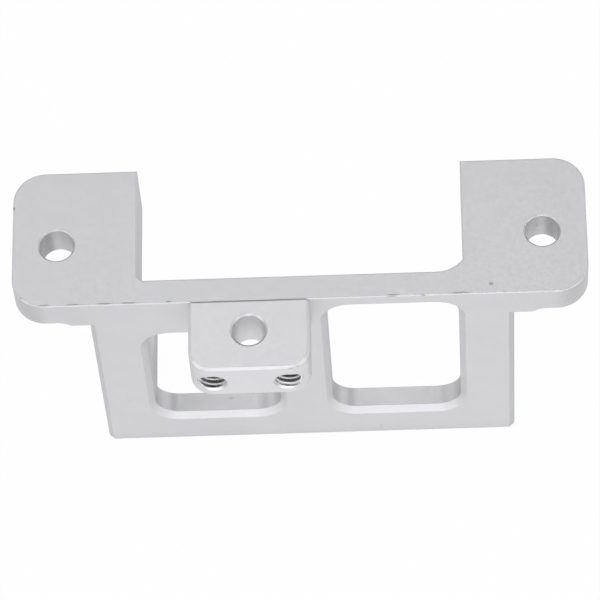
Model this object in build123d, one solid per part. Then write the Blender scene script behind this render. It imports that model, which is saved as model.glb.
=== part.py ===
from build123d import *
import os

# Servo bracket, in millimetres. +X runs along the plate, +Y from the front face to the back, +Z up.
# The origin lies on the plate's top face, halfway between the two wing holes.

# Space for the servo, and the legs and wings beside it
opening_width = 42.5
opening_corner_radius = 1.1
cutter_radius = 4.2
cutter_overrun = 0.75
leg_width = 6.5
wing_reach = 9.75

# Top plate
plate_depth = 20.0
plate_thickness = 5.3
plate_corner_radius = 4.2

# Chamfer under the wings. It stops short of the wall, where the round tool ran out.
wing_chamfer = 0.8
wing_tool_radius = 1.5
wing_tool_stop = 4.05

# Front wall, from the top face down
wall_height = 38.75
wall_thickness = 3.5
wall_side_chamfer = 0.7
wall_foot_radius = 0.8

# Legs behind the wall: a rib under each wing and a foot, with a gap between them
rib_height = 9.8
foot_height = 5.8
gap_corner_radius = 2.0

# Windows through the wall, with their front edges chamfered
left_window_margin = 7.0
right_window_margin = 7.2
window_corner_radius = 3.3
window_chamfer = 0.8
pillar_width = 7.0
pillar_offset = -0.25
sill_height = 6.75
right_window_drop = 2.7
left_window_drop = 8.9

# Wing holes for M4 screws
wing_hole_radius = 2.25
wing_hole_inset = 5.8
wing_hole_from_front = 9.1
wing_hole_break = 0.2

# Mounting block on the front of the wall
block_width = 15.7
block_projection = 10.0
block_height = 7.0
block_centre_x = -6.65
block_front_radius = 2.9
block_back_radius = 0.5
block_top_chamfer = 0.35
block_hole_radius = 2.15
block_hole_from_wall = 4.25
block_hole_break = 0.3

# Tapped M4 holes through the block, drawn at the thread's outer diameter, and their flat-head screws
screw_spacing = 9.75
screw_drop = 3.8
thread_radius = 2.0
tapped_mouth_radius = 2.07
screw_head_radius = 3.3
screw_length = 8.0
screw_tip_chamfer = 0.35
socket_across_flats = 2.5
socket_depth = 1.2

# Edge breaks, and the clearances between the pieces
edge_break = 0.15
lower_break = 0.3
block_gap = 0.05
thread_gap = 0.03
head_gap = 0.02
head_recess = 0.1
screw_clearance = 0.1

# Cutters reach this far past what they cut
beyond = 1.0

half_opening = opening_width / 2
half_wall = half_opening + leg_width
half_plate = half_wall + wing_reach
wing_hole_x = half_plate - wing_hole_inset
tool_stop_x = half_wall + wing_tool_stop
screw_xs = {
    "left": block_centre_x - screw_spacing / 2,
    "right": block_centre_x + screw_spacing / 2,
}

# Towards the back, and the turn that makes a solid drawn along +Z run that way
to_back = (0, 1, 0)
along_y = Rot(-90, 0, 0)


def opening_outline():
    """Servo opening in plan: a small radius at the left, the cutter's wide arc at the right."""
    depth = plate_depth - wall_thickness + beyond
    outline = Pos(0, wall_thickness) * Rectangle(opening_width, depth, align=(Align.CENTER, Align.MIN))
    left_corner = outline.vertices().sort_by(Axis.Y)[:2].sort_by(Axis.X)[0]
    outline = fillet(left_corner, opening_corner_radius)
    arc_x = half_opening + cutter_overrun - cutter_radius
    corner = Pos(arc_x, wall_thickness) * Rectangle(cutter_radius, cutter_radius, align=(Align.MIN, Align.MIN))
    cutter = Pos(arc_x, wall_thickness + cutter_radius) * Circle(cutter_radius)
    return outline - (corner - cutter)


def drill(radius, height, rim_break):
    """Cutter for an upright hole from the top face down, with both rims chamfered."""
    hole = Pos(0, 0, -height / 2) * Cylinder(radius, height + 2 * beyond)
    upper = Pos(0, 0, -rim_break / 2) * Cone(radius, radius + rim_break, rim_break)
    lower = Pos(0, 0, lower_break / 2 - height) * Cone(radius + lower_break, radius, lower_break)
    return hole + upper + lower


def plate():
    """Top plate, open to the back for the servo, chamfered under its wings as far as the tool went."""
    blank = Pos(0, plate_depth / 2) * RectangleRounded(2 * half_plate, plate_depth, plate_corner_radius)
    slab = extrude(blank, -plate_thickness)
    slab = chamfer(slab.faces().sort_by(Axis.Z)[0].edges(), wing_chamfer)
    middle = Box(2 * tool_stop_x, plate_depth, plate_thickness / 2)
    middle = Pos(0, plate_depth / 2, -plate_thickness * 3 / 4) * middle
    tool = Cone(wing_tool_radius + wing_chamfer, wing_tool_radius, wing_chamfer)
    for x in (-tool_stop_x, tool_stop_x):
        for y in (-wing_tool_radius, plate_depth + wing_tool_radius):
            middle -= Pos(x, y, wing_chamfer / 2 - plate_thickness) * tool
    slab = slab + middle - extrude(opening_outline(), -plate_thickness)
    return chamfer(slab.faces().sort_by(Axis.Z)[-1].edges(), edge_break)


def window(left, right, drop):
    """Cutter for a window, from the wall's front to past its back."""
    height = wall_height - sill_height - drop
    centre = Pos((left + right) / 2, -drop - height / 2)
    face = Plane.XZ * centre * RectangleRounded(right - left, height, window_corner_radius)
    return extrude(face, wall_thickness + beyond, dir=to_back)


def frame_below():
    """Wall and legs in one: a block the width of the wall, hollowed for the servo and its ears."""
    top = -plate_thickness / 2
    face = Pos(0, top) * Rectangle(2 * half_wall, wall_height + top, align=(Align.CENTER, Align.MAX))
    face = fillet(face.vertices().group_by(Axis.Y)[0], wall_foot_radius)
    blank = extrude(Plane.XZ * face, plate_depth, dir=to_back)
    front_corners = blank.edges().filter_by(Axis.Z).group_by(Axis.Y)[0]
    blank = chamfer(front_corners, wall_side_chamfer)

    servo_space = extrude(opening_outline(), -rib_height)
    depth = plate_depth - wall_thickness + beyond
    lower_space = Pos(0, wall_thickness, -rib_height) * Box(
        opening_width, depth, wall_height, align=(Align.CENTER, Align.MIN, Align.MAX)
    )
    gap_height = wall_height - rib_height - foot_height
    gap = Pos(wall_thickness, -rib_height) * Rectangle(depth, gap_height, align=(Align.MIN, Align.MAX))
    gap = fillet(gap.vertices().group_by(Axis.X)[0], gap_corner_radius)
    leg_gaps = extrude(Plane.YZ * gap, half_wall + beyond, both=True)
    body = blank - servo_space - lower_space - leg_gaps
    return chamfer(body.faces().sort_by(Axis.Z)[0].edges(), edge_break)


def screw_hole(x):
    """Clearance hole through the wall, countersunk from behind for a flat head."""
    radius = thread_radius + screw_clearance
    mouth = screw_head_radius + head_recess + head_gap
    hole = Cylinder(radius, wall_thickness + 2 * beyond, align=(Align.CENTER, Align.CENTER, Align.MAX))
    sink = Cone(radius, mouth, mouth - radius, align=(Align.CENTER, Align.CENTER, Align.MAX))
    return Pos(x, wall_thickness, -screw_drop) * along_y * (Pos(0, 0, beyond) * hole + sink)


def bracket():
    """Plate, wall and legs as one machined body."""
    body = plate() + frame_below()
    left_jamb = left_window_margin - half_wall
    right_jamb = half_wall - right_window_margin
    body -= window(left_jamb, pillar_offset - pillar_width / 2, left_window_drop)
    body -= window(pillar_offset + pillar_width / 2, right_jamb, right_window_drop)
    front = body.faces().filter_by(Axis.Y).group_by(Axis.Y)[0]
    rims = [edge for face in front for wire in face.inner_wires() for edge in wire.edges()]
    body = chamfer(rims, window_chamfer)
    for x in (-wing_hole_x, wing_hole_x):
        body -= Pos(x, wing_hole_from_front) * drill(wing_hole_radius, plate_thickness, wing_hole_break)
    for x in screw_xs.values():
        body -= screw_hole(x)
    return body


def mounting_block():
    """Block with one upright hole and two tapped holes. Its back is faced off square, to seat on the wall."""
    bar_length = block_projection + beyond
    bar = Pos(block_centre_x, beyond) * Rectangle(block_width, bar_length, align=(Align.CENTER, Align.MAX))
    bar = fillet(bar.vertices().group_by(Axis.Y)[0], block_front_radius)
    body = extrude(bar, -block_height)
    body = chamfer(body.faces().sort_by(Axis.Z)[-1].edges(), block_top_chamfer)
    body = chamfer(body.faces().sort_by(Axis.Z)[0].edges(), lower_break)
    seat = Pos(block_centre_x, -block_gap) * Rectangle(block_width, bar_length, align=(Align.CENTER, Align.MAX))
    seat = fillet(seat.vertices().group_by(Axis.Y)[-1], block_back_radius)
    body = body & extrude(seat, -block_height)
    hole = drill(block_hole_radius, block_height, block_hole_break)
    body -= Pos(block_centre_x, -block_hole_from_wall) * hole
    mouth_depth = tapped_mouth_radius - thread_radius
    for x in screw_xs.values():
        hole = Cylinder(thread_radius, block_projection + 2 * beyond)
        mouth = Cone(tapped_mouth_radius, thread_radius, mouth_depth, align=(Align.CENTER, Align.CENTER, Align.MIN))
        body -= Pos(x, -block_projection / 2, -screw_drop) * along_y * hole
        body -= Pos(x, -block_projection, -screw_drop) * along_y * mouth
    return body


def block_screw(x):
    """Flat-head screw from behind the wall into the block, its head just under the wall's back face."""
    radius = thread_radius - thread_gap
    down = (Align.CENTER, Align.CENTER, Align.MAX)
    head_height = screw_head_radius - radius
    head = Cone(radius, screw_head_radius, head_height, align=down)
    shank = Cylinder(radius, screw_length, align=down)
    shank = chamfer(shank.faces().sort_by(Axis.Z)[0].edges(), screw_tip_chamfer)
    socket = extrude(RegularPolygon(socket_across_flats / 2, 6, major_radius=False), -socket_depth)
    return Pos(x, wall_thickness - head_recess, -screw_drop) * along_y * (head + shank - socket)


# From the wall's front face to the row of wing holes
to_origin = Pos(0, -wing_hole_from_front)

pieces = {"bracket": bracket(), "mounting_block": mounting_block()}
for name, x in screw_xs.items():
    pieces[f"block_screw_{name}"] = block_screw(x)

os.makedirs("parts", exist_ok=True)
for name, piece in pieces.items():
    export_step(to_origin * piece, f"parts/{name}.step")
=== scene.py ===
import math

import bpy
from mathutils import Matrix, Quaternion, Vector


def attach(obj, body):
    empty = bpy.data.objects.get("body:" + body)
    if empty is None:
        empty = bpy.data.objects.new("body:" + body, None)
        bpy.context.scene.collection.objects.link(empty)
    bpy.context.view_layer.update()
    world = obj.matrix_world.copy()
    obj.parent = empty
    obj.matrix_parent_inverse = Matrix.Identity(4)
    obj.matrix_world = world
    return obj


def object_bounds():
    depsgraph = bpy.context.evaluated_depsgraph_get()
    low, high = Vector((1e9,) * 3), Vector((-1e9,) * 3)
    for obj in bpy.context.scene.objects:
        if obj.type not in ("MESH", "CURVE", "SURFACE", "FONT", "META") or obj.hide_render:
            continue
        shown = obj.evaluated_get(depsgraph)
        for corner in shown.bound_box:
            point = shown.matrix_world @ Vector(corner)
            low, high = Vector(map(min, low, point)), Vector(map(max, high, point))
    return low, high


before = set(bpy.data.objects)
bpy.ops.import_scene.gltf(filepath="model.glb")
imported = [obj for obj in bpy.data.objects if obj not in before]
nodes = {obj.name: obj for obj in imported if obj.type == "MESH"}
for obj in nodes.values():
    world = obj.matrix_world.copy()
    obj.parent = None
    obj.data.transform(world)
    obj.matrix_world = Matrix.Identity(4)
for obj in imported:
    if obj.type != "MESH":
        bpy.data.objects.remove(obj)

cad_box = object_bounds()

# A millimetre in metres, which are Blender's unit
MM = 0.001

# Camera, from the photograph's own lines, in mm and degrees, and its clip distances in m
CAMERA_AT = (18.30, -285.46, 502.35)
CAMERA_AIM = (-0.42, -2.64, -12.0)
CAMERA_ROLL = -5.10
LENS = 266.0
SENSOR = 36.0
CLIP_NEAR, CLIP_FAR = 0.01, 50.0

# Floor: how much of it is white to the camera and in reflections, its own grey, and its half width in m
FLOOR_SEEN = 0.98
FLOOR_GLOW = 0.31
FLOOR_GREY = 0.86
FLOOR_REACH = 3.0

# Painted pool of light on the floor before the part, seen in reflections only: what it adds, and where it
# fades out, in m
PAINTED_POOL_GLOW = 0.51
PAINTED_POOL_SIDE = (0.032, 0.048)
PAINTED_POOL_EDGE = (-0.0105, -0.0085)

# Studio light: strength of the even light all round, and the softboxes
WORLD_STRENGTH = 0.35
WHITE = (1.0, 1.0, 1.0)
SOFTBOXES = [
    # name, place in m, size in m, watts, colour
    ("front_box", (0.0, -1.1, 0.3), (1.1, 0.6), 3.85, (0.995, 0.995, 1.02)),
    ("roof_box", (-0.2, 0.27, 1.05), (1.2, 0.6), 2.55, WHITE),
    ("left_box", (-0.95, -0.55, 0.3), (0.9, 0.66), 2.3, WHITE),
    ("right_box", (0.95, -0.55, 0.3), (0.9, 0.66), 2.3, WHITE),
    ("left_rear_box", (-1.0, 0.5, 0.42), (1.0, 0.9), 1.6, WHITE),
    ("right_rear_box", (1.0, 0.5, 0.42), (1.0, 0.9), 1.75, WHITE),
]

# Tapped holes in the mounting block: their axes, and the M4 thread, in mm and in shares of its pitch
HOLE_XS = {"left": -11.525, "right": -1.775}
HOLE_Z = -3.8
HOLE_FRONT_Y = -19.1
THREAD_END_Y = -13.7
PITCH = 0.7
CREST_RADIUS = 1.64
ROOT_RADIUS = 1.95
SLEEVE_RADIUS = 1.99
RIM_RADIUS = 2.062
MOUTH_RADIUS = 1.93
RIM_DEPTH = 0.004
CREST_SHARE = 0.25
ROOT_SHARE = 0.125
THREAD_STARTS = {"left": 0.0, "right": 0.21}

# Steps of the thread's mesh, round it and along it
SLEEVE_AROUND, SLEEVE_ALONG = 96, 150

# Painted light on the cut thread, from 0, painted shade in its roots, to 1, painted highlight on its crests.
# The flank that faces out has a painted highlight near its crest.
FLANK_LIT = 0.62
FLANK_FADE = 0.2
RIM_BRIGHT = 0.77

# Tone of the countersink, and where its painted highlight starts below the middle and over what depth it
# grows, in shares of its radius
MOUTH_BRIGHT = 0.55
SHINE_FROM = 0.6
SHINE_FADE = 0.3

# The mounting block's middle, half the flat width of its front, and the radius of its front corners, in mm
BLOCK_X = -6.65
BLOCK_FLAT = 4.95
BLOCK_CORNER = 2.9

# Metals: base greys, how much bluer than grey, roughness, and the radius of rounded edges in mm
BRACKET_GREY = 0.70
BLOCK_GREY = 0.76
BLUER = 1.02
BLASTED_ROUGHNESS = (0.43, 0.50)
BLASTED_EDGE = 0.09
STEEL_GREY = (0.50, 0.58)
STEEL_ROUGHNESS = (0.28, 0.36)
STEEL_EDGE = 0.06
# The thread's greys run from painted shade in its roots to painted highlight on its crests
THREAD_GREY = (0.39, 0.90)
THREAD_ROUGHNESS = 0.46

# Samples taken for each rounded edge
EDGE_SAMPLES = 6

# Blasted surface: patterns per mm, how much they tint the metal, and how high they stand in mm
CLOUD_SCALE, MOTTLE_SCALE, GRAIN_SCALE = 0.22, 1.6, 7.0
CLOUD_DETAIL = 3.0
CLOUD_TINT, MOTTLE_TINT = 0.05, 0.035
MOTTLE_HEIGHT, GRAIN_HEIGHT = 0.004, 0.006

# Cloud and grain of the steel, and grain of the thread, per mm, and their heights in mm
STEEL_CLOUD_SCALE, STEEL_GRAIN_SCALE, STEEL_GRAIN_HEIGHT = 0.8, 9.0, 0.004
THREAD_GRAIN_SCALE, THREAD_GRAIN_HEIGHT = 8.0, 0.003

# The middle part of a noise pattern's range, which is spread over the full range wanted
NOISE_MIDDLE = (0.3, 0.7)

# A mark is full inside this share of its half size
MARK_CORE = 0.35

# Marks on the metal: centre, half size and depth in mm, and the share they darken it by
BRACKET_MARKS = [
    # a pit in the top face
    ((24.81, -7.66, 0.0), (0.34, 0.24, 0.3), 0.06, 0.22),
    # nicks on the plate's left and front edges, and on the wall's lower edge
    ((-37.40, 5.76, -0.08), (0.22, 0.32, 0.3), 0.06, 0.5),
    ((16.0, -9.08, -0.08), (0.3, 0.25, 0.25), 0.08, 0.35),
    ((11.9, -9.05, -0.05), (0.9, 0.12, 0.2), 0.03, 0.3),
    ((-2.93, -9.15, -38.5), (0.22, 0.3, 0.3), 0.08, 0.45),
    # burr behind the front edge
    ((-33.2, -8.87, 0.0), (0.9, 0.13, 0.1), 0.03, 0.35),
    ((-29.5, -8.87, 0.0), (1.3, 0.12, 0.1), 0.03, 0.25),
    ((-25.4, -8.87, 0.0), (1.5, 0.13, 0.1), 0.03, 0.35),
    ((-22.2, -8.87, 0.0), (1.3, 0.13, 0.1), 0.03, 0.35),
    ((-17.0, -8.87, 0.0), (0.5, 0.13, 0.1), 0.03, 0.4),
    ((12.1, -8.87, 0.0), (1.1, 0.13, 0.1), 0.03, 0.35),
    ((20.7, -8.87, 0.0), (1.7, 0.13, 0.1), 0.03, 0.3),
    # burr on the opening's left edge
    ((-21.2, 6.7, 0.0), (0.14, 0.5, 0.1), 0.03, 0.35),
    ((-21.2, 3.6, 0.0), (0.14, 0.4, 0.1), 0.03, 0.35),
    ((-21.2, 2.0, 0.0), (0.14, 0.7, 0.1), 0.03, 0.25),
    ((-21.2, -4.4, 0.0), (0.14, 0.35, 0.1), 0.03, 0.4),
    # knocks on the front left corner
    ((-36.45, -7.65, 0.0), (0.5, 0.4, 0.25), 0.05, 0.13),
    ((-36.3, -8.0, -0.5), (0.5, 0.5, 0.35), 0.04, 0.10),
    # a scratch on the wall, smudges on the wall and the sill, a speck in the right hole
    ((9.5, -9.1, -36.6), (0.16, 0.1, 0.9), 0.03, 0.12),
    ((-24.3, -9.1, -26.8), (0.35, 0.1, 0.5), 0.01, 0.06),
    ((-10.7, -6.5, -32.0), (0.5, 0.25, 0.1), 0.02, 0.12),
    ((31.1, 2.1, -2.4), (0.3, 0.3, 0.3), 0.03, 0.15),
]

BLOCK_MARKS_AND_PAINTED_SHADE = [
    # painted shade in the joint along the wall
    ((-6.65, -9.2, 0.0), (14.0, 0.12, 0.2), 0.0, 0.3),
    # dented front edge by the right tapped hole
    ((-1.15, -19.1, -0.36), (0.75, 0.25, 0.16), 0.08, 0.28),
    ((-0.1, -18.85, -0.36), (0.55, 0.25, 0.16), 0.08, 0.28),
]


def add(tree, kind, inputs=None, **settings):
    """Adds a shader node. An input given as a socket is linked, and any other is set on its own socket."""
    made = tree.nodes.new(kind)
    for key, value in settings.items():
        setattr(made, key, value)
    for key, value in (inputs or {}).items():
        if isinstance(value, bpy.types.NodeSocket):
            tree.links.new(value, made.inputs[key])
        else:
            made.inputs[key].default_value = value
    return made


def maths(tree, operation, a, b=0.0, c=0.0):
    """Result of a Math node."""
    made = add(tree, "ShaderNodeMath", {0: a, 1: b, 2: c}, operation=operation)
    return made.outputs[0]


def vector_maths(tree, operation, a, b=(0.0, 0.0, 0.0)):
    """Result of a Vector Math node."""
    made = add(tree, "ShaderNodeVectorMath", {0: a, 1: b}, operation=operation)
    return made.outputs["Value"] if operation == "LENGTH" else made.outputs["Vector"]


def remap(tree, value, low, high, to_low, to_high, smooth=False):
    """The range low..high of a value, spread over to_low..to_high and clamped there."""
    kind = "SMOOTHSTEP" if smooth else "LINEAR"
    inputs = {"Value": value, 1: low, 2: high, 3: to_low, 4: to_high}
    return add(tree, "ShaderNodeMapRange", inputs, interpolation_type=kind).outputs[0]


def noise(tree, where, scale, detail=2.0):
    """Noise pattern on the part."""
    inputs = {"Vector": where, "Scale": scale, "Detail": detail}
    return add(tree, "ShaderNodeTexNoise", inputs).outputs["Fac"]


def millimetres(tree):
    """The point on the piece, in millimetres from its own origin."""
    place = add(tree, "ShaderNodeTexCoord").outputs["Object"]
    return add(tree, "ShaderNodeVectorMath", {0: place, "Scale": 1 / MM}, operation="SCALE").outputs["Vector"]


def blob(tree, where, centre, size):
    """1 inside a small ellipsoid at centre, falling to 0 at its edge."""
    offset = vector_maths(tree, "SUBTRACT", where, centre)
    scaled = vector_maths(tree, "DIVIDE", offset, size)
    return remap(tree, vector_maths(tree, "LENGTH", scaled), MARK_CORE, 1.0, 1.0, 0.0, smooth=True)


def new_material(name):
    """Empty node material, and its node tree."""
    material = bpy.data.materials.new(name)
    material.use_nodes = True
    material.node_tree.nodes.clear()
    return material, material.node_tree


def metal(tree, tone, blue, roughness, height, edge=0.0):
    """Metal shader with a surface height in mm, and edges that look rounded by a radius in mm."""
    colour = add(tree, "ShaderNodeCombineColor", {0: tone, 1: tone, 2: blue})
    inputs = {"Height": height, "Distance": MM}
    if edge:
        rounded = add(tree, "ShaderNodeBevel", {"Radius": edge * MM}, samples=EDGE_SAMPLES)
        inputs["Normal"] = rounded.outputs[0]
    bump = add(tree, "ShaderNodeBump", inputs)
    shader = add(tree, "ShaderNodeBsdfPrincipled", {
        "Base Color": colour.outputs[0],
        "Roughness": roughness,
        "Metallic": 1.0,
        "Normal": bump.outputs[0],
    })
    output = add(tree, "ShaderNodeOutputMaterial")
    tree.links.new(shader.outputs[0], output.inputs["Surface"])


def blasted_aluminium(name, grey, marks):
    """Fine bead-blasted aluminium, with its marks and painted shade."""
    material, tree = new_material(name)
    where = millimetres(tree)
    cloud = noise(tree, where, CLOUD_SCALE, CLOUD_DETAIL)
    mottle = noise(tree, where, MOTTLE_SCALE)
    grain = noise(tree, where, GRAIN_SCALE)

    tone = maths(tree, "MULTIPLY_ADD", cloud, CLOUD_TINT, grey - CLOUD_TINT / 2)
    tone = maths(tree, "MULTIPLY_ADD", mottle, MOTTLE_TINT, tone)
    height = maths(tree, "MULTIPLY", grain, GRAIN_HEIGHT)
    height = maths(tree, "MULTIPLY_ADD", mottle, MOTTLE_HEIGHT, height)
    for centre, size, depth, darkening in marks:
        spot = blob(tree, where, centre, size)
        height = maths(tree, "MULTIPLY_ADD", spot, -depth, height)
        tone = maths(tree, "MULTIPLY", tone, remap(tree, spot, 0.0, 1.0, 1.0, 1.0 - darkening))
    rough = remap(tree, mottle, *NOISE_MIDDLE, *BLASTED_ROUGHNESS)
    metal(tree, tone, maths(tree, "MULTIPLY", tone, BLUER), rough, height, BLASTED_EDGE)
    return material


def screw_metal():
    """Plated steel, a little cloudy."""
    material, tree = new_material("plated_steel")
    where = millimetres(tree)
    cloud = noise(tree, where, STEEL_CLOUD_SCALE, CLOUD_DETAIL)
    grain = noise(tree, where, STEEL_GRAIN_SCALE)
    tone = remap(tree, cloud, *NOISE_MIDDLE, *STEEL_GREY)
    rough = remap(tree, grain, *NOISE_MIDDLE, *STEEL_ROUGHNESS)
    height = maths(tree, "MULTIPLY", grain, STEEL_GRAIN_HEIGHT)
    metal(tree, tone, maths(tree, "MULTIPLY", tone, BLUER), rough, height, STEEL_EDGE)
    return material


def painted_thread_metal():
    """Cut thread, with painted highlights on its crests and at the mouth, and painted shade in its roots."""
    material, tree = new_material("cut_thread_painted")
    painted_light_share = add(tree, "ShaderNodeAttribute", attribute_name="painted_light_share").outputs["Fac"]
    tone = remap(tree, painted_light_share, 0.0, 1.0, *THREAD_GREY)
    grain = noise(tree, millimetres(tree), THREAD_GRAIN_SCALE)
    metal(tree, tone, tone, THREAD_ROUGHNESS, maths(tree, "MULTIPLY", grain, THREAD_GRAIN_HEIGHT))
    return material


def place_object(name, data):
    """New object in the scene."""
    made = bpy.data.objects.new(name, data)
    bpy.context.scene.collection.objects.link(made)
    return made


def clamp(value):
    """The value, kept between 0 and 1."""
    return min(1.0, max(0.0, value))


def thread_at(phase):
    """Radius and painted light of the thread at a phase of its pitch: crest, flank, root, flank facing out.
    """
    flank = (1 - CREST_SHARE - ROOT_SHARE) / 2
    phase = phase % 1.0
    if phase < CREST_SHARE:
        return CREST_RADIUS, 1.0
    if phase < CREST_SHARE + flank:
        return CREST_RADIUS + (ROOT_RADIUS - CREST_RADIUS) * (phase - CREST_SHARE) / flank, 0.0
    if phase < 1 - flank:
        return ROOT_RADIUS, 0.0
    below = (1 - phase) / flank
    lit = clamp((FLANK_LIT - below) / FLANK_FADE)
    return CREST_RADIUS + (ROOT_RADIUS - CREST_RADIUS) * below, lit


def corner_recess(x):
    """How far the block's front has fallen back at one place, where its corners round off."""
    past = abs(x - BLOCK_X) - BLOCK_FLAT
    return BLOCK_CORNER - math.sqrt(BLOCK_CORNER ** 2 - past ** 2) if past > 0 else 0.0


def thread_sleeve(name, x, start):
    """Tapped thread inside one bore: a closed sleeve from the block's front to the screw's tip."""
    around, along = SLEEVE_AROUND, SLEEVE_ALONG
    length = THREAD_END_Y - HOLE_FRONT_Y
    turns = [2 * math.pi * step / around for step in range(around)]
    rings = [[(SLEEVE_RADIUS, length, 0.0)] * around, [], [], []]
    fronts = []
    for angle in turns:
        recess = corner_recess(x + RIM_RADIUS * math.cos(angle))
        rim = max(SLEEVE_RADIUS, RIM_RADIUS - recess)
        front = corner_recess(x + MOUTH_RADIUS * math.cos(angle)) + RIM_DEPTH
        rings[1].append((SLEEVE_RADIUS, recess + 2 * RIM_DEPTH + rim - SLEEVE_RADIUS, 0.0))
        rings[2].append((rim, recess + RIM_DEPTH, RIM_BRIGHT))
        rings[3].append((MOUTH_RADIUS, front, RIM_BRIGHT))
        fronts.append(front + RIM_DEPTH)
    # Up to its first crest the cut has a painted highlight all over
    past_crest = [False] * around
    for row in range(along + 1):
        ring = []
        for step in range(around):
            depth = fronts[step] + (length - fronts[step]) * row / along
            cone = MOUTH_RADIUS + RIM_DEPTH - depth
            radius, lit = thread_at(depth / PITCH + step / around + start)
            if cone > radius:
                # Painted highlight on the countersink's lower side, which faces up to the light
                shine = clamp((-math.sin(turns[step]) - SHINE_FROM) / SHINE_FADE)
                radius, lit = cone, MOUTH_BRIGHT + (1.0 - MOUTH_BRIGHT) * shine
            elif radius <= CREST_RADIUS:
                past_crest[step] = True
            elif not past_crest[step]:
                lit = 1.0
            ring.append((radius, depth, lit))
        rings.append(ring)

    points, painted_light_share, faces = [], [], []
    for ring in rings:
        for angle, (radius, depth, lit) in zip(turns, ring):
            points.append((radius * math.cos(angle) * MM, depth * MM, radius * math.sin(angle) * MM))
            painted_light_share.append(lit)
    for row in range(len(rings)):
        a, b = row * around, (row + 1) % len(rings) * around
        for step in range(around):
            after = (step + 1) % around
            faces.append((a + step, a + after, b + after, b + step))

    mesh = bpy.data.meshes.new(name)
    mesh.from_pydata(points, [], faces)
    mesh.attributes.new("painted_light_share", "FLOAT", "POINT").data.foreach_set("value", painted_light_share)
    mesh.update()
    sleeve = place_object(name, mesh)
    sleeve.location = Vector((x, HOLE_FRONT_Y, HOLE_Z)) * MM
    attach(sleeve, "root")
    return sleeve


def cover(thing, material):
    """Gives a piece one material."""
    thing.data.materials.clear()
    thing.data.materials.append(material)


def plain_floor(z):
    """Pale floor that looks white, and keeps the part's shadow; in reflections it glows, with a painted pool
    of light before the part.
    """
    mesh = bpy.data.meshes.new("floor")
    corners = [(x * FLOOR_REACH, y * FLOOR_REACH, z) for x, y in ((-1, -1), (1, -1), (1, 1), (-1, 1))]
    mesh.from_pydata(corners, [], [(0, 1, 2, 3)])
    floor = place_object("floor", mesh)
    material, tree = new_material("floor_white")
    light = add(tree, "ShaderNodeLightPath").outputs
    point = add(tree, "ShaderNodeNewGeometry").outputs["Position"]
    point = add(tree, "ShaderNodeSeparateXYZ", {0: point}).outputs
    # Painted pool of light on the floor before the part, seen in reflections only
    beside = remap(tree, maths(tree, "ABSOLUTE", point["X"]), *PAINTED_POOL_SIDE, 1.0, 0.0, smooth=True)
    ahead = remap(tree, point["Y"], *PAINTED_POOL_EDGE, 1.0, 0.0, smooth=True)
    glow_and_painted_pool = maths(tree, "MULTIPLY_ADD", maths(tree, "MULTIPLY", beside, ahead), PAINTED_POOL_GLOW, FLOOR_GLOW)
    mirrored = maths(tree, "MAXIMUM", light["Is Glossy Ray"], light["Is Transmission Ray"])
    share = maths(tree, "MULTIPLY", mirrored, glow_and_painted_pool)
    share = maths(tree, "MULTIPLY_ADD", light["Is Camera Ray"], FLOOR_SEEN, share)
    matte = add(tree, "ShaderNodeBsdfDiffuse", {"Color": (FLOOR_GREY, FLOOR_GREY, FLOOR_GREY, 1.0)})
    white = add(tree, "ShaderNodeEmission", {"Color": (*WHITE, 1.0), "Strength": 1.0})
    mixed = add(tree, "ShaderNodeMixShader", {0: share, 1: matte.outputs[0], 2: white.outputs[0]})
    output = add(tree, "ShaderNodeOutputMaterial")
    tree.links.new(mixed.outputs[0], output.inputs["Surface"])
    cover(floor, material)


def studio_world():
    """Even pale studio light all round, white where it is seen."""
    world = bpy.data.worlds.new("studio")
    bpy.context.scene.world = world
    world.use_nodes = True
    tree = world.node_tree
    tree.nodes.clear()
    light = add(tree, "ShaderNodeLightPath").outputs
    dim = add(tree, "ShaderNodeBackground", {"Color": (*WHITE, 1.0), "Strength": WORLD_STRENGTH})
    white = add(tree, "ShaderNodeBackground", {"Color": (*WHITE, 1.0), "Strength": 1.0})
    seen = light["Is Camera Ray"]
    mixed = add(tree, "ShaderNodeMixShader", {0: seen, 1: dim.outputs[0], 2: white.outputs[0]})
    output = add(tree, "ShaderNodeOutputWorld")
    tree.links.new(mixed.outputs[0], output.inputs["Surface"])


def softbox(name, place, size, power, colour):
    """Rectangular area lamp at place, turned to the part."""
    lamp = bpy.data.lights.new(name, "AREA")
    lamp.shape = "RECTANGLE"
    lamp.size, lamp.size_y = size
    lamp.energy = power
    lamp.color = colour
    made = place_object(name, lamp)
    made.location = place
    made.rotation_mode = "QUATERNION"
    made.rotation_quaternion = (-Vector(place)).to_track_quat("-Z", "Y")


def photo_camera():
    """Camera at the photograph's viewing angle."""
    data = bpy.data.cameras.new("camera")
    data.sensor_width = SENSOR
    data.lens = LENS
    data.clip_start, data.clip_end = CLIP_NEAR, CLIP_FAR
    camera = place_object("camera", data)
    place, aim = Vector(CAMERA_AT) * MM, Vector(CAMERA_AIM) * MM
    camera.location = place
    camera.rotation_mode = "QUATERNION"
    roll = Quaternion((0.0, 0.0, 1.0), math.radians(CAMERA_ROLL))
    camera.rotation_quaternion = (aim - place).to_track_quat("-Z", "Y") @ roll
    bpy.context.scene.camera = camera


bracket_metal = blasted_aluminium("bracket_aluminium", BRACKET_GREY, BRACKET_MARKS)
block_metal = blasted_aluminium("block_aluminium", BLOCK_GREY, BLOCK_MARKS_AND_PAINTED_SHADE)
steel = screw_metal()
thread = painted_thread_metal()
cover(nodes["bracket"], bracket_metal)
cover(nodes["mounting_block"], block_metal)
for side, x in HOLE_XS.items():
    cover(nodes["block_screw_" + side], steel)
    sleeve = thread_sleeve("thread_" + side, x, THREAD_STARTS[side])
    cover(sleeve, thread)

plain_floor(cad_box[0].z)
studio_world()
for box in SOFTBOXES:
    softbox(*box)
photo_camera()
bpy.context.scene.view_settings.view_transform = "Standard"
